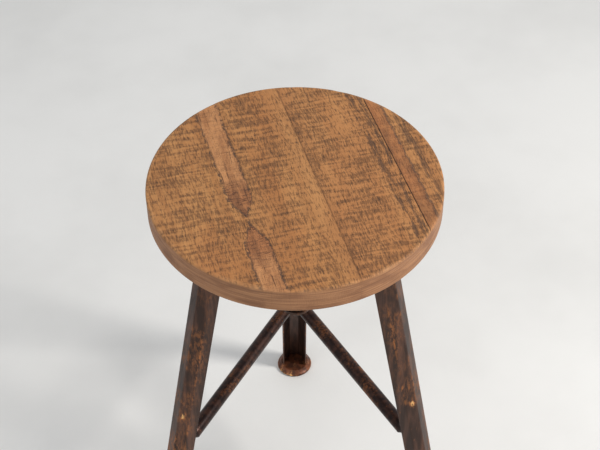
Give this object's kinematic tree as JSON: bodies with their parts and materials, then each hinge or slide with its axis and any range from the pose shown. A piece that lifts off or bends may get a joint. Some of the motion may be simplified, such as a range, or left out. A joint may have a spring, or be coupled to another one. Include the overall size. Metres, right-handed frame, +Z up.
{
  "type": "adjustable swivel stool",
  "caption": "Round wooden seat on a screw spindle that turns to raise and lower it, held by a cast spider on splayed pressed-steel legs with round pad feet and tube struts.",
  "frame": {"origin": "centre of the stool's footprint box on the floor; the spindle axis stands 32 mm in front of it, towards -Y", "axes": "+Z up, +Y towards the rear leg, +X to the right of someone looking along +Y"},
  "size_m": [0.4068, 0.394, 0.564],
  "materials": {
    "seat_wood": "reclaimed hardwood, rough-sawn top with dark weathering left in the saw marks, waxed",
    "frame_steel": "old dark brown-black lacquer with rust showing along the edges, half gloss",
    "cast_iron": "old dark casting, dull, lightly rusted",
    "spindle_steel": "greased machined steel, darkened",
    "bush_brass": "tarnished brass",
    "fixings": "blackened steel, worn on the heads"
  },
  "bodies": {
    "frame": {"leg_rear": "frame_steel", "leg_left": "frame_steel", "leg_right": "frame_steel", "foot_rear": "frame_steel", "foot_left": "frame_steel", "foot_right": "frame_steel", "strut_left": "frame_steel", "strut_right": "frame_steel", "leg_rivets": "fixings", "strut_rivets": "fixings", "spider": "cast_iron", "thread_bush": "bush_brass", "bush_screws": "fixings"},
    "carriage": {"stop_washer": "fixings"},
    "seat": {"seat_board_1": "seat_wood", "seat_board_2": "seat_wood", "seat_board_3": "seat_wood", "seat_board_4": "seat_wood", "seat_plate": "cast_iron", "seat_screws": "fixings", "spindle": "spindle_steel", "spindle_pin": "fixings", "split_pin": "fixings"}
  },
  "joints": [
    {"name": "seat_lift", "type": "slide", "parent": "frame", "child": "carriage", "axis": [0, 0, 1], "range_m": [-0.0241, 0.0721]},
    {"name": "seat_turn", "type": "hinge", "parent": "carriage", "child": "seat", "pos_m": [0, -0.032, 0.5], "axis": [0, 0, 1], "range_deg": [-1440, 4320]}
  ],
  "couplings": [
    {"joint": "seat_lift", "follows": "seat_turn", "m_per_rad": 0.00095493}
  ]
}
